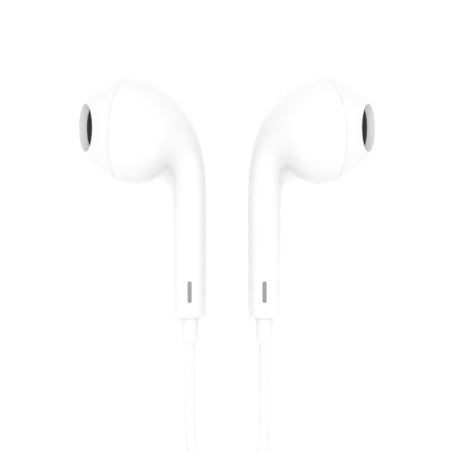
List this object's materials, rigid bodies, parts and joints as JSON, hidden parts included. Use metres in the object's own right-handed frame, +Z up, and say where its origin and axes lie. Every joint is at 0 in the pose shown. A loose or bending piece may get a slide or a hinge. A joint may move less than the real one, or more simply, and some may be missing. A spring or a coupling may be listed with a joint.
{
  "type": "wired earphones",
  "caption": "Wired half in-ear earphones with stemmed earpieces, moving-coil drivers, in-line button remote, cord splitter and a round audio plug.",
  "frame": {"origin": "middle of the two earpieces in plan, on the surface that they lie on", "axes": "+X to the right earpiece, +Y from the cords towards the heads, +Z up from the surface"},
  "size_m": [0.0458, 0.1458, 0.0155],
  "materials": {
    "white_shell": "smooth glossy white moulding",
    "nozzle_ring": "light grey satin moulding",
    "dark_mesh": "black woven mesh",
    "vent_mesh": "grey woven mesh",
    "soft_white": "soft white elastomer",
    "cord_jacket": "smooth white cord jacket",
    "grey_strap": "woven hook and loop strap",
    "driver_plastic": "moulded frame",
    "driver_steel": "plated steel",
    "magnet": "nickel plated magnet",
    "film": "thin formed film",
    "copper": "enamelled copper wire",
    "board": "glass fibre circuit board",
    "membrane": "switch membrane",
    "contact": "plated contact"
  },
  "bodies": {
    "earphones": {"left_cord_coil": "cord_jacket", "left_cord_lower": "cord_jacket", "left_cord_tie": "grey_strap", "left_cord_upper": "cord_jacket", "left_driver_basket": "driver_plastic", "left_driver_magnet": "magnet", "left_driver_top_plate": "driver_steel", "left_driver_yoke": "driver_steel", "left_front_cap": "white_shell", "left_nozzle_mesh": "dark_mesh", "left_nozzle_ring": "nozzle_ring", "left_rear_housing": "white_shell", "left_stem_cap": "white_shell", "left_stem_vent": "vent_mesh", "left_strain_relief": "soft_white", "left_surround": "film", "main_cord_coil": "cord_jacket", "main_cord_end": "cord_jacket", "main_cord_start": "cord_jacket", "main_cord_tie": "grey_strap", "microphone": "driver_steel", "plug_housing": "white_shell", "plug_insulator": "driver_plastic", "plug_relief": "soft_white", "plug_ring_back": "contact", "plug_ring_front": "contact", "plug_sleeve": "contact", "plug_tip": "contact", "remote_back_shell": "white_shell", "remote_board": "board", "remote_front_shell": "white_shell", "remote_relief_lower": "soft_white", "remote_relief_upper": "soft_white", "right_cord_coil": "cord_jacket", "right_cord_lower": "cord_jacket", "right_cord_middle": "cord_jacket", "right_cord_tie": "grey_strap", "right_cord_upper": "cord_jacket", "right_driver_basket": "driver_plastic", "right_driver_magnet": "magnet", "right_driver_top_plate": "driver_steel", "right_driver_yoke": "driver_steel", "right_front_cap": "white_shell", "right_nozzle_mesh": "dark_mesh", "right_nozzle_ring": "nozzle_ring", "right_rear_housing": "white_shell", "right_stem_cap": "white_shell", "right_stem_vent": "vent_mesh", "right_strain_relief": "soft_white", "right_surround": "film", "splitter": "soft_white", "switch_membrane": "membrane"},
    "volume_up_key": {"volume_up_button": "white_shell"},
    "centre_key": {"centre_button": "white_shell"},
    "volume_down_key": {"volume_down_button": "white_shell"},
    "left_voice": {"left_diaphragm": "film", "left_voice_coil": "copper"},
    "right_voice": {"right_diaphragm": "film", "right_voice_coil": "copper"}
  },
  "joints": [
    {"name": "volume_up_press", "type": "slide", "parent": "earphones", "child": "volume_up_key", "axis": [0, 0, -1], "range_m": [0, 0.00025], "stiffness_N_per_m": 2500},
    {"name": "centre_press", "type": "slide", "parent": "earphones", "child": "centre_key", "axis": [0, 0, -1], "range_m": [0, 0.00025], "stiffness_N_per_m": 2500},
    {"name": "volume_down_press", "type": "slide", "parent": "earphones", "child": "volume_down_key", "axis": [0, 0, -1], "range_m": [0, 0.00025], "stiffness_N_per_m": 2500},
    {"name": "left_driver_stroke", "type": "slide", "parent": "earphones", "child": "left_voice", "axis": [-0.9452, 0.0611, -0.3206], "range_m": [-0.00015, 0.00015], "stiffness_N_per_m": 300},
    {"name": "right_driver_stroke", "type": "slide", "parent": "earphones", "child": "right_voice", "axis": [0.9452, 0.0611, -0.3206], "range_m": [-0.00015, 0.00015], "stiffness_N_per_m": 300}
  ]
}
